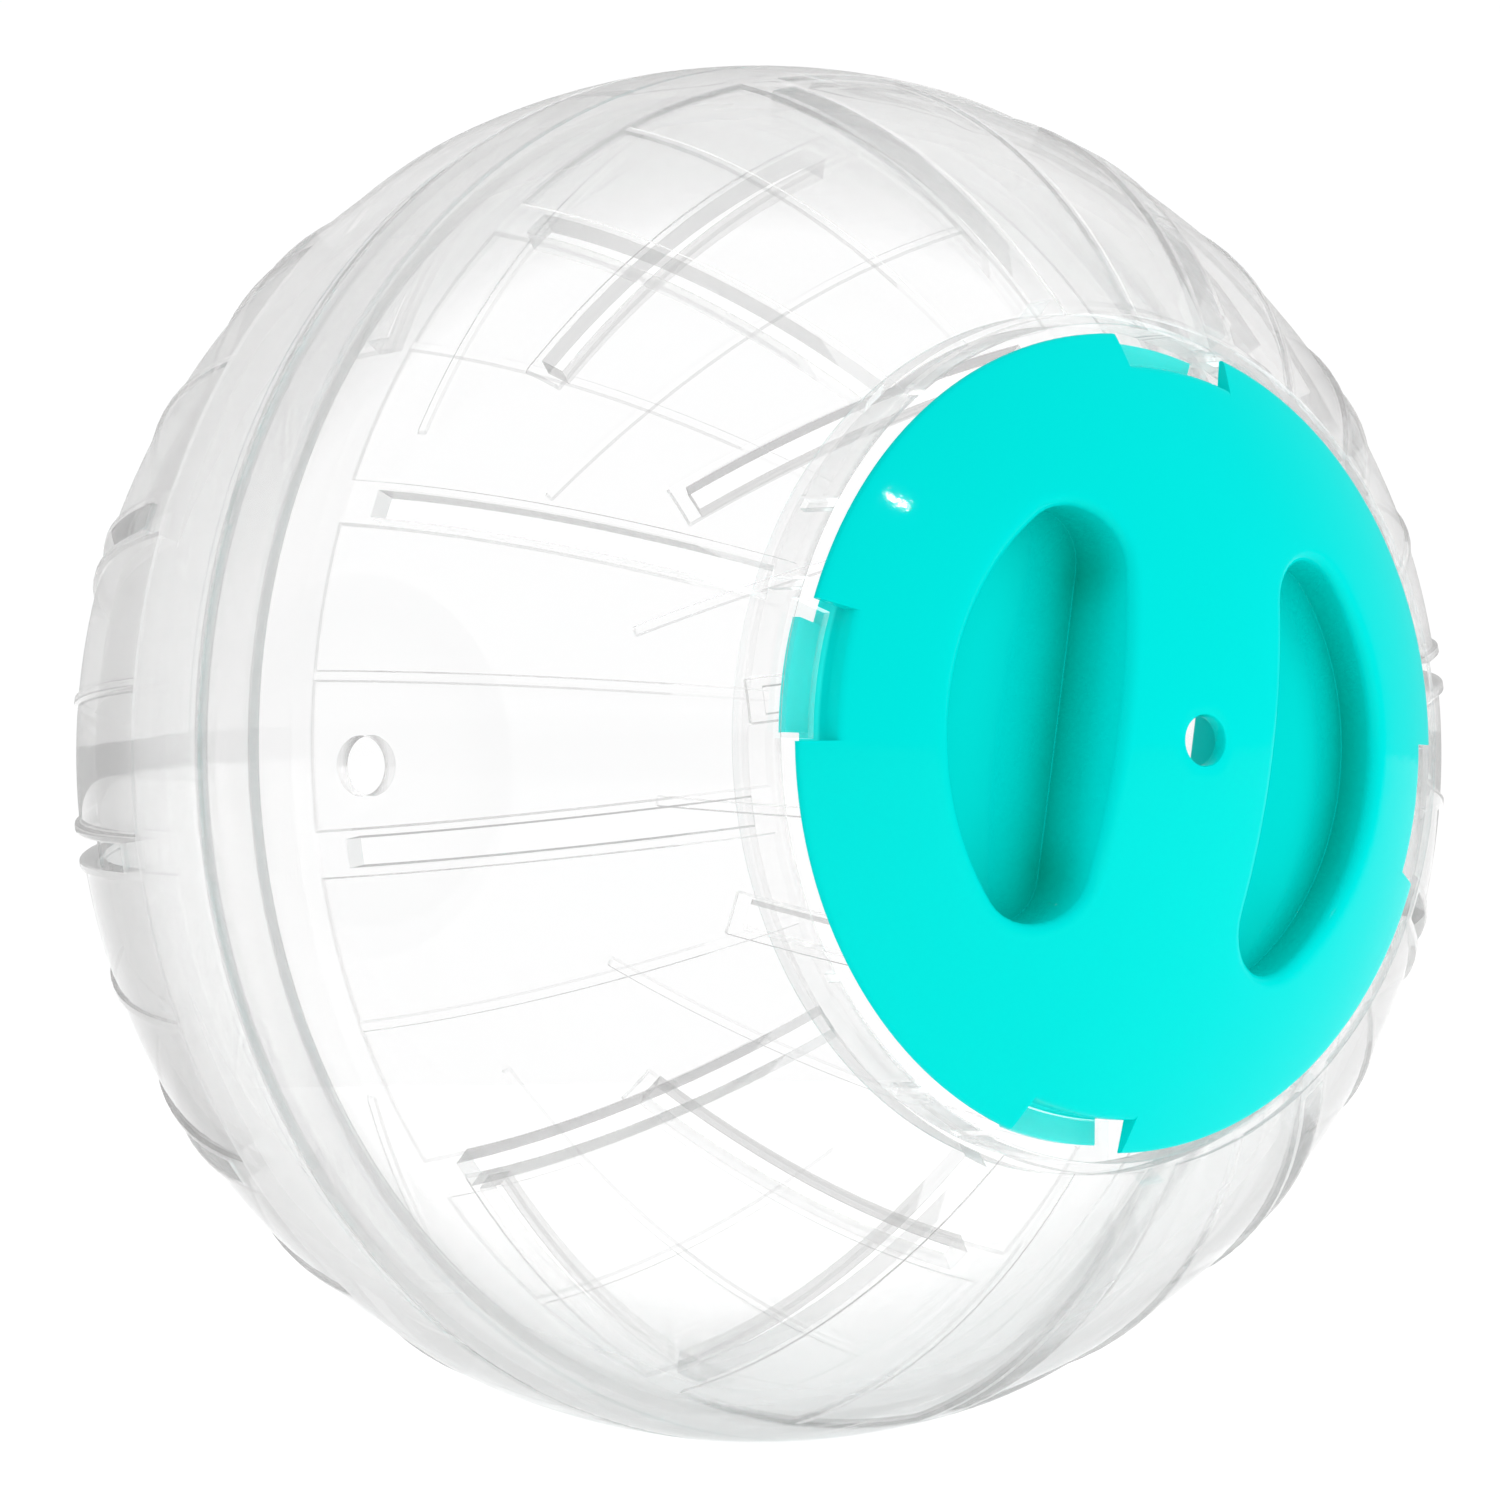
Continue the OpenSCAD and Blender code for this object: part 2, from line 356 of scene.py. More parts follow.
def rear_half():
    kw = dict(frame=1.0, rib=1.0)
    zb = 2.85
    outer = [Row(72.2, zb, **kw), Row(72.385, zb + 0.07, **kw), Row(72.44, zb + 0.25, **kw)]
    outer += [on(R, t, **kw) for t in (3.4, 5.0, 7.0, 9.0, 11.0, 12.2, 12.7)]
    outer += [on(R - 0.03, 12.86, **kw), on(R - 0.12, 12.97, **kw), on(R - 0.48, 13.05, **kw), on(RZ, 13.22, **kw)]
    outer += [on(RZ, t, **kw) for t in (13.8, 15.2, 16.46)]
    lats = slot_rows(16.6, 50.4)
    outer += [on(RZ, t, tag=g, **kw) for t, g in lats]
    outer += [on(RZ, t, **kw) for t in (50.54, 51.1, 51.55)]
    for t, fr in ((51.72, 0.92), (51.82, 0.5), (51.94, 0.06), (52.1, 0.0)):
        outer.append(on(RZ, t, frame=fr, rib=1.0))
    for t in (53.0, 55.0, 57.0, 59.0, 59.75):
        outer.append(on(RZ, t, rib=1.0))
    for t, rb in ((59.9, 0.85), (60.05, 0.3), (60.2, 0.0)):
        outer.append(on(RZ, t, rib=rb))
    outer += [on(RZ, t) for t in (62.0, 64.5, 67.0, 69.5, 71.5, 72.6)]
    flat = math.sqrt(RZ ** 2 - 21.0 ** 2)
    outer += [on(RZ, 72.9), Row(20.85, flat - 0.02), Row(20.4, flat)]
    rest = [Row(17.0, flat), Row(12.0, flat), Row(8.0, flat), Row(5.0, flat), Row(3.5, flat), Row(3.28, flat - 0.08), Row(3.2, flat - 0.3),
            Row(3.2, flat - 1.8), Row(3.3, flat - 2.0), Row(5.0, flat - 2.0), Row(8.0, flat - 2.0), Row(12.0, flat - 2.0), Row(17.0, flat - 2.0)]
    ri0 = math.sqrt(RI ** 2 - (flat - 2) ** 2)
    inner = [Row(math.sqrt(RI ** 2 - 5.65 ** 2), 5.65), on(RI, 6.5), on(RI, 9.0), on(RI, 12.0), on(RI, 14.5), on(RI, 16.46)]
    inner += [on(RI, t, tag=g) for t, g in lats]
    inner += [on(RI, t) for t in (50.54, 51.55, 53.0, 55.0, 57.0, 59.0, 61.0, 63.5, 66.0, 68.5, 70.5, 72.0)]
    inner += [Row(ri0, flat - 2.0)]
    back = [Row(69.35, 5.65), Row(69.35, 2.0), Row(69.35, -2.0), Row(69.35, -4.05), Row(69.5, -4.2), Row(70.6, -4.2), Row(70.75, -4.05),
            Row(70.75, -2.0), Row(70.75, 1.0), Row(70.75, zb)]
    return shell("rear_clear_half", outer, rest, inner, back, True)


# ---------------------------------------------------------------------------
# The door: a dome with two finger recesses, a ring under it and four tabs.
def half_moon(b, r, c):
    """outline of a rounded half-moon on the +x side, anticlockwise"""
    cx = b + c
    cy = math.sqrt((r - c) ** 2 - cx * cx)
    t = math.degrees(math.atan2(cy, cx))
    pts = [(r * cosd(-t + 2 * t * i / 30), r * sind(-t + 2 * t * i / 30)) for i in range(31)]
    pts += [(cx + c * cosd(t + (180 - t) * i / 12), cy + c * sind(t + (180 - t) * i / 12)) for i in range(1, 13)]
    n = 18
    # the straight side bulges by a hair, so that no three of its points are in line
    pts += [(b - 0.05 * (1 - (1 - 2 * i / n) ** 2), cy - 2 * cy * i / n) for i in range(1, n)]
    pts += [(cx + c * cosd(180 + (180 - t) * i / 12), -cy + c * sind(180 + (180 - t) * i / 12)) for i in range(12)]
    return pts


def turned(pts, a):
    return [(x * cosd(a) - y * sind(a), x * sind(a) + y * cosd(a)) for x, y in pts]


def inside(pts, loop):
    """which of the points lie inside the closed loop"""
    p = np.asarray(pts, float)
    q = np.asarray(loop, float)
    res = np.zeros(len(p), bool)
    for i in range(len(q)):
        x0, y0 = q[i]
        x1, y1 = q[(i + 1) % len(q)]
        if y0 == y1:
            continue
        cross = ((p[:, 1] < y0) != (p[:, 1] < y1)) & (p[:, 0] < (x1 - x0) * (p[:, 1] - y0) / (y1 - y0) + x0)
        res ^= cross
    return res


def fill(soup, rim_ids, rim_xy, holes, zfun, pitch, clear):
    """triangles over the region inside the rim and outside the holes, on the surface z = zfun(rho)"""
    loops = [(rim_ids, rim_xy)] + holes
    pts, ids, edges = [], [], []
    for lid, lxy in loops:
        s0 = len(pts)
        pts += list(lxy)
        ids += list(lid)
        edges += [(s0 + i, s0 + (i + 1) % len(lxy)) for i in range(len(lxy))]
    ext = max(max(abs(x), abs(y)) for x, y in rim_xy)
    bound = np.array([p for _, l in loops for p in l])
    cand = []
    n = int(ext / pitch) + 2
    for j in range(-n, n + 1):
        for i in range(-n, n + 1):
            cand.append(((i + 0.5 * (j % 2)) * pitch, j * pitch * 0.866))
    cand = np.array(cand)
    d = np.full(len(cand), 1e9)
    for q in bound:
        d = np.minimum(d, np.hypot(cand[:, 0] - q[0], cand[:, 1] - q[1]))
    ok = (d > clear) & inside(cand, rim_xy)
    for _, l in holes:
        ok &= ~inside(cand, l)
    for x, y in cand[ok]:
        pts.append((float(x), float(y)))
        ids.append(soup.add(float(x), float(y), zfun(math.hypot(x, y))))
    res = delaunay_2d_cdt([Vector(p) for p in pts], edges, [], 0, 1e-7)
    back = [o[0] if o else -1 for o in res[3]]
    tri = [[back[i] for i in f] for f in res[2]]
    cen = np.array([[sum(pts[i][0] for i in f) / 3, sum(pts[i][1] for i in f) / 3] for f in tri])
    keep = inside(cen, rim_xy)
    for _, l in holes:
        keep &= ~inside(cen, l)
    for f, k in zip(tri, keep):
        if k:
            soup.face(*[ids[i] for i in f])


DOME_R, DOME_Z = 70.1, 3.3             # the door's dome is a little rounder than the ball


def dome(inset):
    return lambda rho: DOME_Z + math.sqrt((DOME_R - inset) ** 2 - rho * rho)


def door():
    s = Soup()
    # ring part, by columns: outside the notches, in a notch, and over a tab
    angles = set()
    for i in range(4):
        t = 90 * i
        for a in (LUG - 10.1, LUG + 10.1, LUG + 0.5 - 8.3, LUG + 0.5 + 8.3, LUG - 9.8, LUG + 9.8):
            angles.add(round((a + t) % 360, 4))
    for i in range(180):
        a = i * 2.0
        if min(abs((a - b + 180) % 360 - 180) for b in angles) > 0.8:
            angles.add(a)
    angles = sorted(angles)
    n = len(angles)

    def kind(mid):
        m = (mid - LUG + 45) % 90 - 45
        if abs(m) > 10.1:
            return "rim"
        return "tab" if abs(m - 0.5) < 8.3 else "notch"

    kinds = [kind((angles[j] + (angles[(j + 1) % n] + (360 if j == n - 1 else 0))) / 2) for j in range(n)]
    sk, si, nt = 38.5, 36.9, 38.9           # the ring's two sides, and the notches' inner side
    z_tab = 56.05                           # top of the flat tabs
    z_low = z_tab - 1.5
    top = dome(0)
    under = dome(1.8)
    ring_in = 35.2
    line = [(nt, top(nt)), (sk, under(sk)), (sk, z_tab), (sk, z_tab - 1.2), (sk, z_low)]
    z0, z1 = under(sk), top(42.3) - 0.7

    def low(rho):
        return z0 + (z1 - z0) * (rho - sk) / (42.3 - sk)

    rim_pts = [(39.4, top(39.4)), (40.6, top(40.6)), (41.7, top(41.7)), (42.08, top(42.08) - 0.03), (42.24, top(42.24) - 0.1), (42.3, top(42.3) - 0.28),
               (42.3, z1 + 0.1), (42.2, low(42.2)), (40.6, low(40.6)), (39.4, low(39.4))]
    tab_pts = [(39.4, z_tab), (40.4, z_tab), (41.35, z_tab), (41.46, z_tab - 0.04), (41.5, z_tab - 0.15),
               (41.5, z_tab - 1.05), (41.46, z_tab - 1.16), (41.35, z_tab - 1.2), (40.4, z_tab - 1.2), (39.4, z_tab - 1.2)]
    col = []
    for a in angles:
        c = {"top": [s.polar(r, a, top(r)) for r in (ring_in, 36.4, 37.5, 38.25)]}
        # the notches' rounded upper edge
        c["edge"] = [s.polar(r, a, top(r) - d) for r, d in ((38.5, 0.02), (38.7, 0.09), (38.84, 0.22), (38.9, 0.42))]
        c["edge"].append(s.polar(nt, a, low(nt)))
        c["line"] = [s.polar(r, a, z) for r, z in line]
        c["rim"] = [s.polar(r, a, z) for r, z in rim_pts]
        c["tab"] = [s.polar(r, a, z) for r, z in tab_pts]
        c["in"] = [s.polar(si, a, z) for z in (z_low, 57.0, under(si))]
        col.append(c)

    def section(c, k):
        l = c["line"]
        out = list(c["top"])
        if k == "rim":
            out += [l[0]] + c["rim"] + [l[1], l[2], l[3], l[4]]
        elif k == "notch":
            out += c["edge"] + [l[1], l[2], l[3], l[4]]
        else:
            out += c["edge"] + [l[1], l[2]] + c["tab"] + [l[3], l[4]]
        return out + c["in"]

    for j in range(n):
        j1 = (j + 1) % n
        p, q = section(col[j], kinds[j]), section(col[j1], kinds[j])
        for m in range(len(p) - 1):
            s.face(p[m], q[m], q[m + 1], p[m + 1])
        a, b = kinds[j - 1], kinds[j]
        if a != b:
            c = col[j]
            l = c["line"]
            if "rim" in (a, b):
                s.face(c["top"][-1], l[0], *c["rim"], l[1], *reversed(c["edge"]))
            if "tab" in (a, b):
                s.face(l[2], *c["tab"], l[3])
    # the two recesses from above: a soft lip, wider on the curved side, a steep wall and a flat floor
    holes_top, holes_low = [], []
    r_fil, z_floor = 0.12, 61.87
    prof = []
    for i in range(8):
        th = i * (90 - 5) / 7
        prof.append(("lip", 1 - sind(th), 1 - cosd(th)))
    prof.append(("wall", 0.12, 0.5))
    for i in range(6):
        th = 5 + i * (90 - 5) / 5
        prof.append(("foot", 0.24 + r_fil * (cosd(5) - cosd(th)), r_fil * (1 - (sind(th) - sind(5)) / (1 - sind(5)))))
    for a in (0, 180):
        rings = []
        for part, so, h in prof:
            if part == "lip":
                loop = half_moon(10.3 - 1.2 * so, 28.2 + 2.0 * so, 5.6 + 1.7 * so)
            else:
                loop = half_moon(10.3 + so, 28.2 - so, 5.6 - so)
            ids, flat = [], turned(loop, GRIP + a)
            for (u, _), (x, y) in zip(loop, flat):
                rho = math.hypot(x, y)
                lip = 1.2 + 1.0 * min(1.0, max(0.0, (u - 10.0) / 18.2))
                if part == "lip":
                    z = top(rho) - h * lip
                elif part == "foot":
                    z = z_floor + h
                else:
                    z = (top(rho) - lip + z_floor + r_fil) / 2
                ids.append(s.add(x, y, z))
            rings.append((ids, flat))
        for (i0, _), (i1, _) in zip(rings, rings[1:]):
            for m in range(len(i0)):
                m1 = (m + 1) % len(i0)
                s.face(i0[m], i0[m1], i1[m1], i1[m])
        holes_top.append(rings[0])
        fill(s, rings[-1][0], rings[-1][1], [], lambda rho: z_floor, 1.5, 0.9)
        # the cup under it
        cup = []
        z_cup = z_floor - 1.6
        for so, k, h in ((0.5, 0, 0.0), (0.15, 0, 0.15), (0.0, 0, 0.5), (0.0, 0.5, 0.25), (-0.1, 1, 0.8), (-0.35, 1, 0.2), (-1.0, 1, 0.0)):
            loop = turned(half_moon(8.5 - so, 29.9 + so, 7.4 + so), GRIP + a)
            ids = []
            for x, y in loop:
                rho = math.hypot(x, y)
                z = (under(rho) - h) * (1 - k) + (z_cup + h) * k
                ids.append(s.add(x, y, z))
            cup.append((ids, loop))
        for (i0, _), (i1, _) in zip(cup, cup[1:]):
            for m in range(len(i0)):
                m1 = (m + 1) % len(i0)
                s.face(i0[m], i0[m1], i1[m1], i1[m])
        holes_low.append(cup[0])
        fill(s, cup[-1][0], cup[-1][1], [], lambda rho: z_cup, 2.2, 1.2)
    # the hole in the middle
    circ = [10.0 * i for i in range(36)]
    hole = []
    for r, z in ((2.95, top(2.95)), (2.72, top(2.7) - 0.07), (2.6, top(2.6) - 0.3), (2.6, under(2.6) + 0.1), (2.75, under(2.75))):
        hole.append([s.polar(r, a, z) for a in circ])
    for i0, i1 in zip(hole, hole[1:]):
        for m in range(36):
            m1 = (m + 1) % 36
            s.face(i0[m], i0[m1], i1[m1], i1[m])
    holes_top.append((hole[0], [(2.95 * cosd(a), 2.95 * sind(a)) for a in circ]))
    holes_low.append((hole[-1], [(2.75 * cosd(a), 2.75 * sind(a)) for a in circ]))
    fill(s, [c["top"][0] for c in col], [(ring_in * cosd(a), ring_in * sind(a)) for a in angles], holes_top, top, 1.5, 0.9)
    fill(s, [c["in"][-1] for c in col], [(si * cosd(a), si * sind(a)) for a in angles], holes_low, under, 2.2, 1.2)
    return s.build("turquoise_lid")


# ---------------------------------------------------------------------------
# Materials
def nodes_of(name):
    m = bpy.data.materials.new(name)
    m.use_nodes = True
    nt = m.node_tree
    return m, nt, nt.nodes["Principled BSDF"]


def clear_plastic():
    m, nt, b = nodes_of("clear_moulded_plastic")
    b.inputs["Transmission Weight"].default_value = 0.55
    b.inputs["IOR"].default_value = 1.49
    co = nt.nodes.new("ShaderNodeTexCoord")
    # a thin clear wall hardly bends what is seen straight through it, and does so more at a slant
    lw = nt.nodes.new("ShaderNodeLayerWeight")
    lw.inputs["Blend"].default_value = 0.5
    see = nt.nodes.new("ShaderNodeMapRange")
    see.inputs["From Min"].default_value = 0.38
    see.inputs["From Max"].default_value = 0.76
    see.inputs["To Min"].default_value = 0.03
    see.inputs["To Max"].default_value = 0.70
    nt.links.new(lw.outputs["Facing"], see.inputs["Value"])
    # the lapped band is the thicker and hazier part of the wall
    axis = nt.nodes.new("ShaderNodeSeparateXYZ")
    nt.links.new(co.outputs["Object"], axis.inputs[0])
    haze_sum = see.outputs["Result"]
    edge = []
    for lo, hi in ((-0.0126, -0.0121), (0.0165, 0.0160)):
        e = nt.nodes.new("ShaderNodeMapRange")
        e.interpolation_type = "SMOOTHSTEP"
        e.inputs["From Min"].default_value = lo
        e.inputs["From Max"].default_value = hi
        nt.links.new(axis.outputs["Y"], e.inputs["Value"])
        edge.append(e.outputs["Result"])
    both = nt.nodes.new("ShaderNodeMath")
    both.operation = "MULTIPLY"
    nt.links.new(edge[0], both.inputs[0])
    nt.links.new(edge[1], both.inputs[1])
    add = nt.nodes.new("ShaderNodeMath")
    add.operation = "MULTIPLY_ADD"
    add.inputs[1].default_value = 0.08
    nt.links.new(both.outputs[0], add.inputs[0])
    nt.links.new(haze_sum, add.inputs[2])
    # painted shade: the side faces of ribs, frames, slots and steps are made less see-through than the wall and painted
    # grey, standing in for the dark lines along their edges
    mid = nt.nodes.new("ShaderNodeVectorMath")
    mid.operation = "SUBTRACT"
    mid.inputs[1].default_value = (0, 0, R / 1000)
    nt.links.new(co.outputs["Object"], mid.inputs[0])
    out = nt.nodes.new("ShaderNodeVectorMath")
    out.operation = "NORMALIZE"
    nt.links.new(mid.outputs["Vector"], out.inputs[0])
    dot = nt.nodes.new("ShaderNodeVectorMath")
    dot.operation = "DOT_PRODUCT"
    nt.links.new(out.outputs["Vector"], dot.inputs[0])
    nt.links.new(co.outputs["Normal"], dot.inputs[1])
    size = nt.nodes.new("ShaderNodeMath")
    size.operation = "ABSOLUTE"
    nt.links.new(dot.outputs["Value"], size.inputs[0])
    side = nt.nodes.new("ShaderNodeMapRange")
    side.inputs["From Min"].default_value = 0.99
    side.inputs["From Max"].default_value = 0.75
    side.inputs["To Min"].default_value = 0.0
    side.inputs["To Max"].default_value = 1.0
    nt.links.new(size.outputs[0], side.inputs["Value"])
    ring = nt.nodes.new("ShaderNodeMapRange")
    ring.inputs["From Min"].default_value = -0.0504
    ring.inputs["From Max"].default_value = -0.0500
    ring.inputs["To Min"].default_value = 0.25
    ring.inputs["To Max"].default_value = 1.0
    nt.links.new(axis.outputs["Y"], ring.inputs["Value"])
    part = nt.nodes.new("ShaderNodeMath")
    part.operation = "MULTIPLY"
    nt.links.new(side.outputs["Result"], part.inputs[0])
    nt.links.new(ring.outputs["Result"], part.inputs[1])
    more = nt.nodes.new("ShaderNodeMath")
    more.operation = "MULTIPLY_ADD"
    more.inputs[1].default_value = 0.24
    nt.links.new(part.outputs[0], more.inputs[0])
    nt.links.new(add.outputs[0], more.inputs[2])
    nt.links.new(more.outputs[0], b.inputs["Alpha"])
    # the plastic's pale haze colour, mixed towards a painted grey shade by the masks below
    haze_and_painted_shade = nt.nodes.new("ShaderNodeMix")
    haze_and_painted_shade.data_type = "RGBA"
    haze_and_painted_shade.inputs["A"].default_value = (0.85, 0.84, 0.84, 1)
    haze_and_painted_shade.inputs["B"].default_value = (0.50, 0.49, 0.487, 1)
    # painted shade: the base colour turns greyer where the wall is seen at a slant, towards the outline
    painted_outline_shade = nt.nodes.new("ShaderNodeMapRange")
    painted_outline_shade.inputs["From Min"].default_value = 0.66
    painted_outline_shade.inputs["From Max"].default_value = 0.98
    painted_outline_shade.inputs["To Min"].default_value = 0.0
    painted_outline_shade.inputs["To Max"].default_value = 0.75
    nt.links.new(lw.outputs["Facing"], painted_outline_shade.inputs["Value"])
    both2 = nt.nodes.new("ShaderNodeMath")
    both2.operation = "MAXIMUM"
    nt.links.new(part.outputs[0], both2.inputs[0])
    nt.links.new(painted_outline_shade.outputs["Result"], both2.inputs[1])
    # painted shade: the rear half is painted greyer towards its outline, where its wall is seen edge on
    back = nt.nodes.new("ShaderNodeMapRange")
    back.inputs["From Min"].default_value = 0.0165
    back.inputs["From Max"].default_value = 0.0185
    nt.links.new(axis.outputs["Y"], back.inputs["Value"])
    slant = nt.nodes.new("ShaderNodeMapRange")
    slant.interpolation_type = "SMOOTHSTEP"
    slant.inputs["From Min"].default_value = 0.50
    slant.inputs["From Max"].default_value = 0.74
    slant.inputs["To Min"].default_value = 0.2
    slant.inputs["To Max"].default_value = 0.8
    nt.links.new(lw.outputs["Facing"], slant.inputs["Value"])
    grey = nt.nodes.new("ShaderNodeMath")
    grey.operation = "MULTIPLY"
    nt.links.new(back.outputs["Result"], grey.inputs[0])
    nt.links.new(slant.outputs["Result"], grey.inputs[1])
    all3 = nt.nodes.new("ShaderNodeMath")
    all3.operation = "MAXIMUM"
    nt.links.new(both2.outputs[0], all3.inputs[0])
    nt.links.new(grey.outputs[0], all3.inputs[1])
    nt.links.new(all3.outputs[0], haze_and_painted_shade.inputs["Factor"])
    # painted light: the lugs' side faces inside the collar are painted near white and made to glow, so they are the
    # whitest part
    off = nt.nodes.new("ShaderNodeVectorMath")
    off.operation = "MULTIPLY"
    off.inputs[1].default_value = (1, 0, 1)
    nt.links.new(mid.outputs["Vector"], off.inputs[0])
    rad = nt.nodes.new("ShaderNodeVectorMath")
    rad.operation = "LENGTH"
    nt.links.new(off.outputs["Vector"], rad.inputs[0])
    lug = nt.nodes.new("ShaderNodeMapRange")
    lug.inputs["From Min"].default_value = 0.0432
    lug.inputs["From Max"].default_value = 0.0430
    nt.links.new(rad.outputs["Value"], lug.inputs["Value"])
    front = nt.nodes.new("ShaderNodeMapRange")
    front.inputs["From Min"].default_value = -0.0550
    front.inputs["From Max"].default_value = -0.0555
    nt.links.new(axis.outputs["Y"], front.inputs["Value"])
    turn = nt.nodes.new("ShaderNodeSeparateXYZ")
    nt.links.new(co.outputs["Normal"], turn.inputs[0])
    level = nt.nodes.new("ShaderNodeMath")
    level.operation = "ABSOLUTE"
    nt.links.new(turn.outputs["Y"], level.inputs[0])
    flank = nt.nodes.new("ShaderNodeMapRange")
    flank.inputs["From Min"].default_value = 0.95
    flank.inputs["From Max"].default_value = 0.5
    flank.inputs["To Min"].default_value = 0.04
    flank.inputs["To Max"].default_value = 1.0
    nt.links.new(level.outputs[0], flank.inputs["Value"])
    place = nt.nodes.new("ShaderNodeMath")
    place.operation = "MULTIPLY"
    nt.links.new(lug.outputs["Result"], place.inputs[0])
    nt.links.new(front.outputs["Result"], place.inputs[1])
    painted_glow = nt.nodes.new("ShaderNodeMath")
    painted_glow.operation = "MULTIPLY"
    nt.links.new(place.outputs[0], painted_glow.inputs[0])
    nt.links.new(flank.outputs["Result"], painted_glow.inputs[1])
    painted_lug_white = nt.nodes.new("ShaderNodeMix")
    painted_lug_white.data_type = "RGBA"
    painted_lug_white.inputs["B"].default_value = (0.97, 0.98, 0.98, 1)
    nt.links.new(painted_glow.outputs[0], painted_lug_white.inputs["Factor"])
    nt.links.new(haze_and_painted_shade.outputs["Result"], painted_lug_white.inputs["A"])
    nt.links.new(painted_lug_white.outputs["Result"], b.inputs["Base Color"])
    # painted light: emission on the lugs' side faces, which are no lamp
    painted_glow_strength = nt.nodes.new("ShaderNodeMath")
    painted_glow_strength.operation = "MULTIPLY"
    painted_glow_strength.inputs[1].default_value = 0.55
    nt.links.new(painted_glow.outputs[0], painted_glow_strength.inputs[0])
    b.inputs["Emission Color"].default_value = (0.9, 1.0, 1.0, 1)
    nt.links.new(painted_glow_strength.outputs[0], b.inputs["Emission Strength"])
    # slow flow waves of the moulding, and fine handling marks in the gloss
    wave = nt.nodes.new("ShaderNodeTexNoise")
    wave.inputs["Scale"].default_value = 26.0
    wave.inputs["Detail"].default_value = 2.0
    wave.inputs["Distortion"].default_value = 0.6
    nt.links.new(co.outputs["Object"], wave.inputs["Vector"])
    bump = nt.nodes.new("ShaderNodeBump")
    bump.inputs["Strength"].default_value = 0.25
    bump.inputs["Distance"].default_value = 0.0006
    nt.links.new(wave.outputs["Fac"], bump.inputs["Height"])
    nt.links.new(bump.outputs["Normal"], b.inputs["Normal"])
    haze = nt.nodes.new("ShaderNodeTexNoise")
    haze.inputs["Scale"].default_value = 90.0
    haze.inputs["Detail"].default_value = 4.0
    nt.links.new(co.outputs["Object"], haze.inputs["Vector"])
    rng = nt.nodes.new("ShaderNodeMapRange")
    rng.inputs["From Min"].default_value = 0.35
    rng.inputs["From Max"].default_value = 0.75
    rng.inputs["To Min"].default_value = 0.012
    rng.inputs["To Max"].default_value = 0.05
    nt.links.new(haze.outputs["Fac"], rng.inputs["Value"])
    nt.links.new(rng.outputs["Result"], b.inputs["Roughness"])
    return m


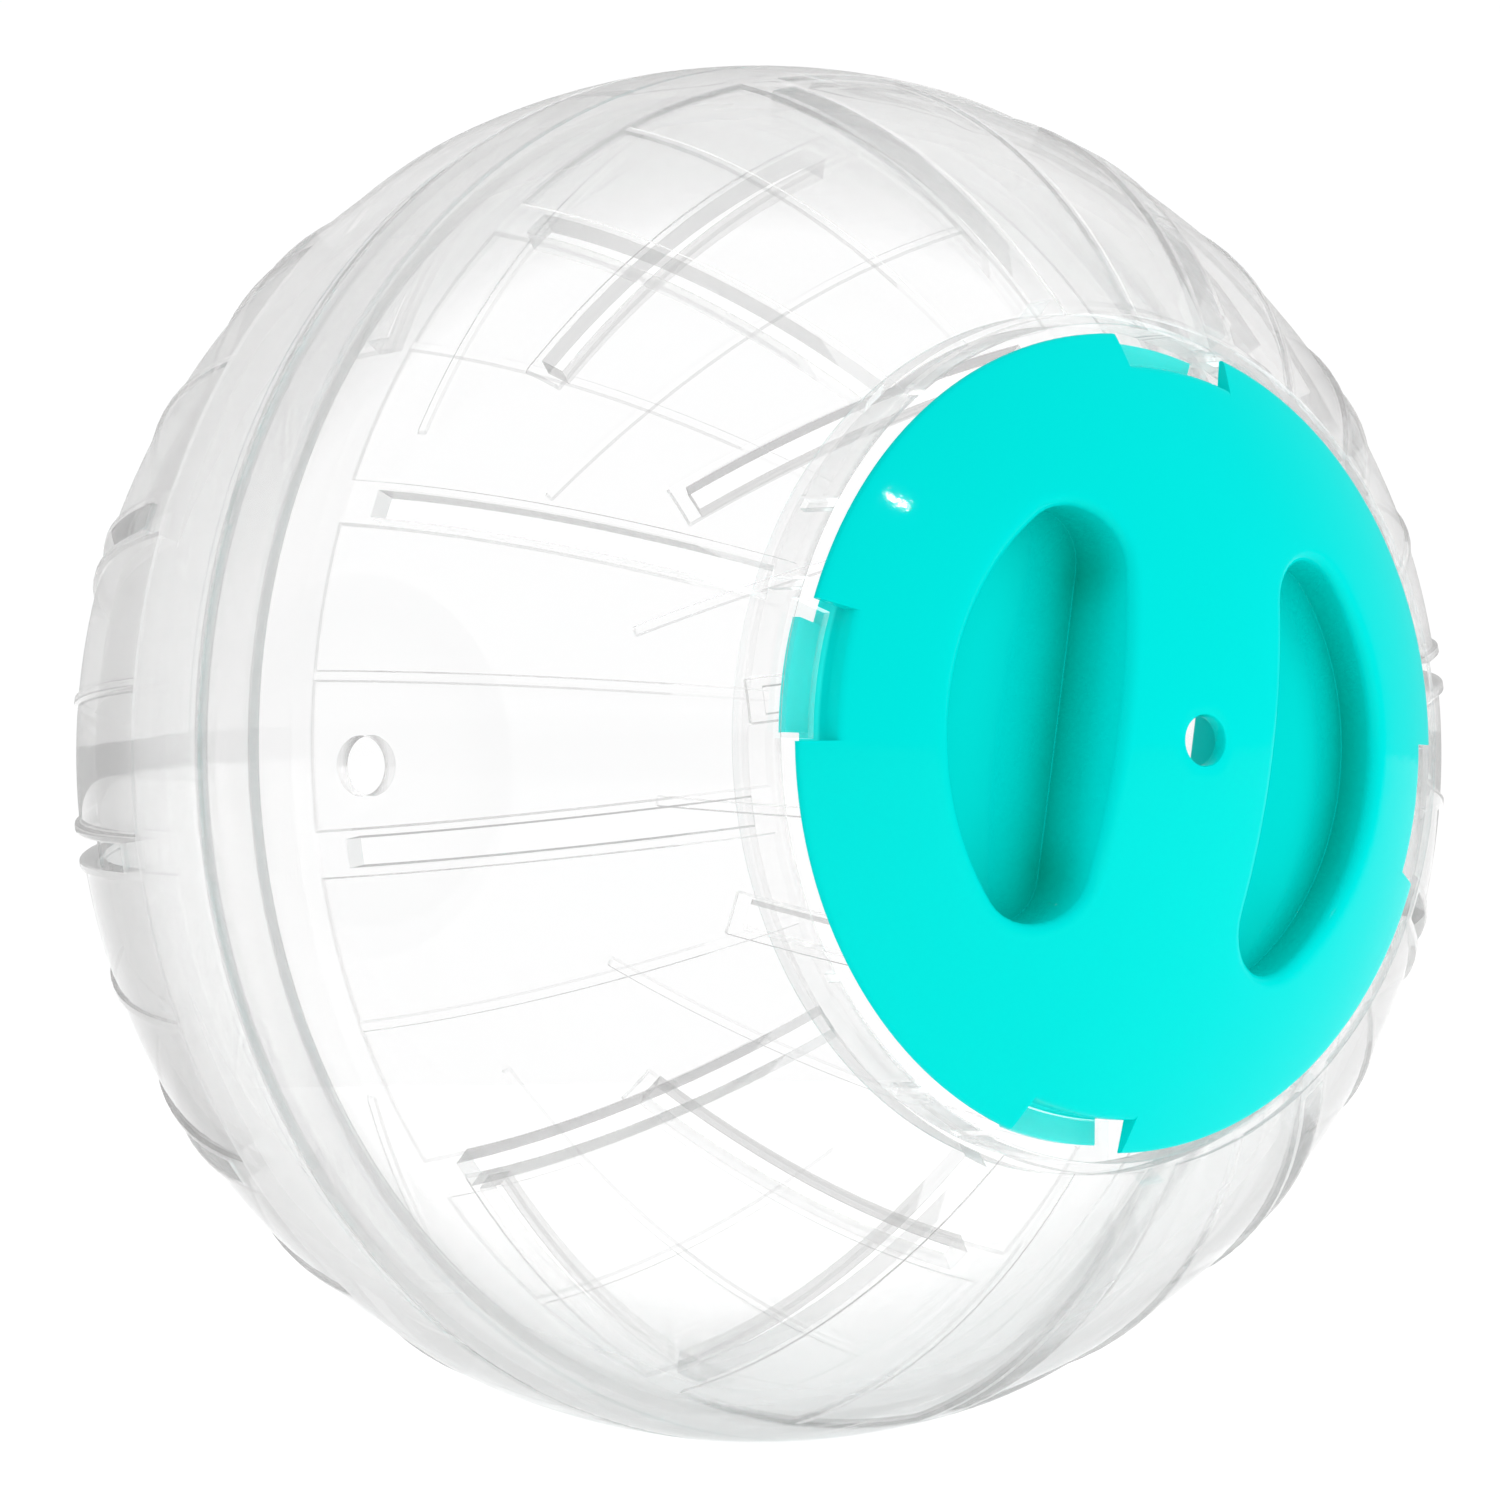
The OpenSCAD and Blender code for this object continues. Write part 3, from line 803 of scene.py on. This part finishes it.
def lid_plastic():
    m, nt, b = nodes_of("turquoise_moulded_plastic")
    b.inputs["Specular IOR Level"].default_value = 0.03
    b.inputs["IOR"].default_value = 1.5
    b.inputs["Subsurface Weight"].default_value = 0.0
    co = nt.nodes.new("ShaderNodeTexCoord")
    tone = nt.nodes.new("ShaderNodeTexNoise")
    tone.inputs["Scale"].default_value = 14.0
    tone.inputs["Detail"].default_value = 2.0
    nt.links.new(co.outputs["Object"], tone.inputs["Vector"])
    ramp = nt.nodes.new("ShaderNodeValToRGB")
    ramp.color_ramp.elements[0].position = 0.3
    ramp.color_ramp.elements[0].color = (0.0, 0.65, 0.616, 1)
    ramp.color_ramp.elements[1].position = 0.7
    ramp.color_ramp.elements[1].color = (0.0, 0.678, 0.644, 1)
    nt.links.new(tone.outputs["Fac"], ramp.inputs["Fac"])
    # painted light: the parts below the dome, the tabs under the clear lugs among them, are painted a lighter teal so
    # that they look lighter
    place = nt.nodes.new("ShaderNodeSeparateXYZ")
    nt.links.new(co.outputs["Object"], place.inputs[0])
    low = nt.nodes.new("ShaderNodeMapRange")
    low.inputs["From Min"].default_value = -0.0580
    low.inputs["From Max"].default_value = -0.0575
    nt.links.new(place.outputs["Y"], low.inputs["Value"])
    light = nt.nodes.new("ShaderNodeMix")
    light.data_type = "RGBA"
    light.inputs["B"].default_value = (0.02, 0.86, 0.82, 1)
    nt.links.new(low.outputs["Result"], light.inputs["Factor"])
    nt.links.new(ramp.outputs["Color"], light.inputs["A"])
    # painted shade: the colour is painted darker in the hollows, where ambient occlusion finds them
    ao = nt.nodes.new("ShaderNodeAmbientOcclusion")
    ao.samples = 16
    ao.only_local = True
    ao.inputs["Distance"].default_value = 0.012
    deep = nt.nodes.new("ShaderNodeMapRange")
    deep.inputs["From Min"].default_value = 0.45
    deep.inputs["From Max"].default_value = 0.90
    deep.inputs["To Min"].default_value = 1.0
    deep.inputs["To Max"].default_value = 0.0
    nt.links.new(ao.outputs["AO"], deep.inputs["Value"])
    recess_painted_shade = nt.nodes.new("ShaderNodeMix")
    recess_painted_shade.data_type = "RGBA"
    recess_painted_shade.blend_type = "MULTIPLY"
    # the painted shade goes only in the finger recesses, which lie within 33 mm of the axis
    flat = nt.nodes.new("ShaderNodeVectorMath")
    flat.operation = "MULTIPLY_ADD"
    flat.inputs[1].default_value = (1, 0, 1)
    flat.inputs[2].default_value = (0, 0, -R / 1000)
    nt.links.new(co.outputs["Object"], flat.inputs[0])
    rad = nt.nodes.new("ShaderNodeVectorMath")
    rad.operation = "LENGTH"
    nt.links.new(flat.outputs["Vector"], rad.inputs[0])
    near = nt.nodes.new("ShaderNodeMapRange")
    near.inputs["From Min"].default_value = 0.0345
    near.inputs["From Max"].default_value = 0.0330
    nt.links.new(rad.outputs["Value"], near.inputs["Value"])
    # the painted shade is strongest towards the +x side of each recess, the straight wall of one and the curved wall of
    # the other
    across = nt.nodes.new("ShaderNodeVectorMath")
    across.operation = "DOT_PRODUCT"
    across.inputs[1].default_value = (cosd(GRIP), 0, sind(GRIP))
    nt.links.new(flat.outputs["Vector"], across.inputs[0])
    span = nt.nodes.new("ShaderNodeMapRange")
    span.inputs["From Min"].default_value = -0.030
    span.inputs["From Max"].default_value = 0.030
    nt.links.new(across.outputs["Value"], span.inputs["Value"])
    shade = nt.nodes.new("ShaderNodeValToRGB")
    stops = ((0.13, 0.0), (0.29, 0.75), (0.33, 0.95), (0.50, 0.9), (0.51, 0.0), (0.74, 0.0), (0.87, 0.55), (0.95, 0.9))
    for k_, (pos, val) in enumerate(stops):
        e = shade.color_ramp.elements[k_] if k_ < 2 else shade.color_ramp.elements.new(pos)
        e.position = pos
        e.color = (val, val, val, 1)
    nt.links.new(span.outputs["Result"], shade.inputs["Fac"])
    # and it fades towards the ends of each recess
    along = nt.nodes.new("ShaderNodeVectorMath")
    along.operation = "DOT_PRODUCT"
    along.inputs[1].default_value = (-sind(GRIP), 0, cosd(GRIP))
    nt.links.new(flat.outputs["Vector"], along.inputs[0])
    size = nt.nodes.new("ShaderNodeMath")
    size.operation = "ABSOLUTE"
    nt.links.new(along.outputs["Value"], size.inputs[0])
    ends = nt.nodes.new("ShaderNodeMapRange")
    ends.inputs["From Min"].default_value = 0.015
    ends.inputs["From Max"].default_value = 0.026
    ends.inputs["To Min"].default_value = 1.0
    ends.inputs["To Max"].default_value = 0.4
    nt.links.new(size.outputs[0], ends.inputs["Value"])
    inner = nt.nodes.new("ShaderNodeMath")
    inner.operation = "MULTIPLY"
    nt.links.new(ends.outputs["Result"], inner.inputs[0])
    nt.links.new(near.outputs["Result"], inner.inputs[1])
    part = nt.nodes.new("ShaderNodeMath")
    part.operation = "MULTIPLY"
    nt.links.new(shade.outputs["Color"], part.inputs[0])
    nt.links.new(inner.outputs[0], part.inputs[1])
    share = nt.nodes.new("ShaderNodeMath")
    share.operation = "MULTIPLY"
    nt.links.new(deep.outputs["Result"], share.inputs[0])
    nt.links.new(part.outputs[0], share.inputs[1])
    nt.links.new(share.outputs[0], recess_painted_shade.inputs["Factor"])
    nt.links.new(light.outputs["Result"], recess_painted_shade.inputs["A"])
    recess_painted_shade.inputs["B"].default_value = (1.0, 0.50, 0.40, 1)
    nt.links.new(recess_painted_shade.outputs["Result"], b.inputs["Base Color"])
    fine = nt.nodes.new("ShaderNodeTexNoise")
    fine.inputs["Scale"].default_value = 900.0
    fine.inputs["Detail"].default_value = 3.0
    nt.links.new(co.outputs["Object"], fine.inputs["Vector"])
    bump = nt.nodes.new("ShaderNodeBump")
    bump.inputs["Strength"].default_value = 0.05
    bump.inputs["Distance"].default_value = 0.0002
    nt.links.new(fine.outputs["Fac"], bump.inputs["Height"])
    nt.links.new(bump.outputs["Normal"], b.inputs["Normal"])
    rough = nt.nodes.new("ShaderNodeMapRange")
    rough.inputs["To Min"].default_value = 0.03
    rough.inputs["To Max"].default_value = 0.06
    nt.links.new(tone.outputs["Fac"], rough.inputs["Value"])
    nt.links.new(rough.outputs["Result"], b.inputs["Roughness"])
    return m


clear = clear_plastic()
teal = lid_plastic()

front = front_half()
front.data.materials.append(clear)
rear = rear_half()
rear.data.materials.append(clear)
lid = door()
lid.data.materials.append(teal)

for ob, body, node, slot in ((front, "front_half", "front_shell", "clear_shell"), (rear, "rear_half", "rear_shell", "clear_shell"),
                             (lid, "door", "door", "turquoise_door")):
    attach(ob, body)
    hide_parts(node)

# ---------------------------------------------------------------------------
# Studio: a white floor, a bright background and soft lights
floor_me = bpy.data.meshes.new("floor")
n = 96
pts = [(0, 0, 0)] + [(30 * math.cos(2 * math.pi * i / n), 30 * math.sin(2 * math.pi * i / n), 0) for i in range(n)]
floor_me.from_pydata(pts, [], [(0, i + 1, (i + 1) % n + 1) for i in range(n)])
floor = bpy.data.objects.new("floor", floor_me)
floor.location.z = -0.0002
bpy.context.scene.collection.objects.link(floor)
fm, fnt, fb = nodes_of("studio_floor")
fb.inputs["Roughness"].default_value = 0.9
fb.inputs["Specular IOR Level"].default_value = 0.0
fb.inputs["Emission Color"].default_value = (1, 1, 1, 1)
fpath = fnt.nodes.new("ShaderNodeLightPath")
fmul = fnt.nodes.new("ShaderNodeMath")
fmul.operation = "MULTIPLY_ADD"
fmul.inputs[1].default_value = 0.36
fmul.inputs[2].default_value = 0.50
fnt.links.new(fpath.outputs["Is Camera Ray"], fmul.inputs[0])
fnt.links.new(fmul.outputs[0], fb.inputs["Emission Strength"])
fmix = fnt.nodes.new("ShaderNodeMix")
fmix.data_type = "RGBA"
fmix.inputs["A"].default_value = (0.85, 0.85, 0.85, 1)
fmix.inputs["B"].default_value = (0.25, 0.25, 0.25, 1)
fnt.links.new(fpath.outputs["Is Camera Ray"], fmix.inputs["Factor"])
fnt.links.new(fmix.outputs["Result"], fb.inputs["Base Color"])
floor_me.materials.append(fm)

VIEW = Vector((0.6254, 0.7801, 0.0148))        # the camera's direction
RIGHT = Vector((0.7803, -0.6253, -0.0119))
UP = Vector((0.0, -0.0190, 0.9998))

w = bpy.data.worlds.new("studio")
bpy.context.scene.world = w
w.use_nodes = True
wn = w.node_tree
bg = wn.nodes["Background"]
tc = wn.nodes.new("ShaderNodeTexCoord")


def lobe(direction, lo, hi, amount):
    """light that grows towards one side of the studio"""
    d = wn.nodes.new("ShaderNodeVectorMath")
    d.operation = "DOT_PRODUCT"
    d.inputs[1].default_value = direction
    wn.links.new(tc.outputs["Generated"], d.inputs[0])
    r = wn.nodes.new("ShaderNodeMapRange")
    r.interpolation_type = "SMOOTHSTEP"
    r.inputs["From Min"].default_value = lo
    r.inputs["From Max"].default_value = hi
    r.inputs["To Min"].default_value = 0
    r.inputs["To Max"].default_value = amount
    wn.links.new(d.outputs["Value"], r.inputs["Value"])
    return r.outputs["Result"]


def plus(a, b):
    n_ = wn.nodes.new("ShaderNodeMath")
    n_.operation = "ADD"
    for k_, v_ in ((0, a), (1, b)):
        if isinstance(v_, float):
            n_.inputs[k_].default_value = v_
        else:
            wn.links.new(v_, n_.inputs[k_])
    return n_.outputs[0]


total = plus(lobe((0.6254, 0.7801, 0.0), 0.1, 0.9, 0.30), 0.62)
total = plus(total, lobe((-0.6254, -0.7801, 0.0), -0.1, 0.9, 0.55))
total = plus(total, lobe((0.0, 0.0, 1.0), 0.35, 0.95, 0.32))
total = plus(total, lobe((-0.7803, 0.6253, 0.0), 0.1, 0.9, -0.40))
path = wn.nodes.new("ShaderNodeLightPath")
# reflections see a darker room than the light that falls on the object
gloss = wn.nodes.new("ShaderNodeMix")
gloss.data_type = "FLOAT"
wn.links.new(path.outputs["Is Glossy Ray"], gloss.inputs["Factor"])
wn.links.new(total, gloss.inputs["A"])
wn.links.new(plus(lobe((0.6254, 0.7801, 0.0), 0.2, 0.8, 0.24), 0.3), gloss.inputs["B"])
wn.links.new(gloss.outputs["Result"], bg.inputs["Strength"])
bg.inputs["Color"].default_value = (1.0, 1.0, 1.0, 1)
# what is seen directly behind the object is plain white
white = wn.nodes.new("ShaderNodeBackground")
white.inputs["Color"].default_value = (1, 1, 1, 1)
white.inputs["Strength"].default_value = 1.02
mixw = wn.nodes.new("ShaderNodeMixShader")
wn.links.new(path.outputs["Is Camera Ray"], mixw.inputs[0])
wn.links.new(bg.outputs[0], mixw.inputs[1])
wn.links.new(white.outputs[0], mixw.inputs[2])
wn.links.new(mixw.outputs[0], wn.nodes["World Output"].inputs["Surface"])

CENTRE = Vector((0, 0, R / 1000))


def softbox(name, direction, dist, size, power, size_y=None):
    ld = bpy.data.lights.new(name, "AREA")
    ld.shape = "RECTANGLE"
    ld.size = size
    ld.size_y = size_y or size
    ld.energy = power
    ob = bpy.data.objects.new(name, ld)
    d = Vector(direction).normalized()
    ob.location = CENTRE + d * dist
    ob.rotation_euler = (-d).to_track_quat("-Z", "Y").to_euler()
    bpy.context.scene.collection.objects.link(ob)
    return ob


# directions are given as right, up and towards the camera
def cam_dir(r, u, b):
    return RIGHT * r + UP * u - VIEW * b


for args in (("key", cam_dir(1.0, 0.3, 0.1), 1.7, 0.4, 4.5),):
    softbox(*args).visible_glossy = False
# a small lamp whose glint shows near the lid's upper left rim
spot = Vector((-0.03071, -0.06123, 0.09731))
d = cam_dir(0.317, 0.683, 0.658).normalized()
glint = softbox("glint", d, 1.2, 0.09, 0.009, 0.022)
glint.data.spread = math.radians(8)
glint.visible_diffuse = False
glint.visible_transmission = False
long_side = cam_dir(0.866, -0.5, 0.03)
long_side = (long_side - d * long_side.dot(d)).normalized()
short_side = d.cross(long_side)
place = spot + d * 1.2
glint.matrix_world = Matrix((
    (long_side.x, short_side.x, d.x, place.x),
    (long_side.y, short_side.y, d.y, place.y),
    (long_side.z, short_side.z, d.z, place.z),
    (0, 0, 0, 1)))

# ---------------------------------------------------------------------------
cam_data = bpy.data.cameras.new("camera")
cam_data.sensor_width = 36
cam_data.lens = 495.37
cam_data.clip_start = 0.05
cam_data.clip_end = 40
cam = bpy.data.objects.new("camera", cam_data)
bpy.context.scene.collection.objects.link(cam)
bpy.context.scene.camera = cam
eye = CENTRE - RIGHT * 0.000927 + UP * 0.000379 - VIEW * 2.175
m = Matrix((
    (RIGHT.x, UP.x, -VIEW.x, eye.x),
    (RIGHT.y, UP.y, -VIEW.y, eye.y),
    (RIGHT.z, UP.z, -VIEW.z, eye.z),
    (0, 0, 0, 1)))
cam.matrix_world = m

sc = bpy.context.scene
sc.view_settings.view_transform = "Standard"
sc.view_settings.look = "None"
sc.cycles.transmission_bounces = 16
sc.cycles.transparent_max_bounces = 16
sc.cycles.max_bounces = 18
sc.cycles.glossy_bounces = 8
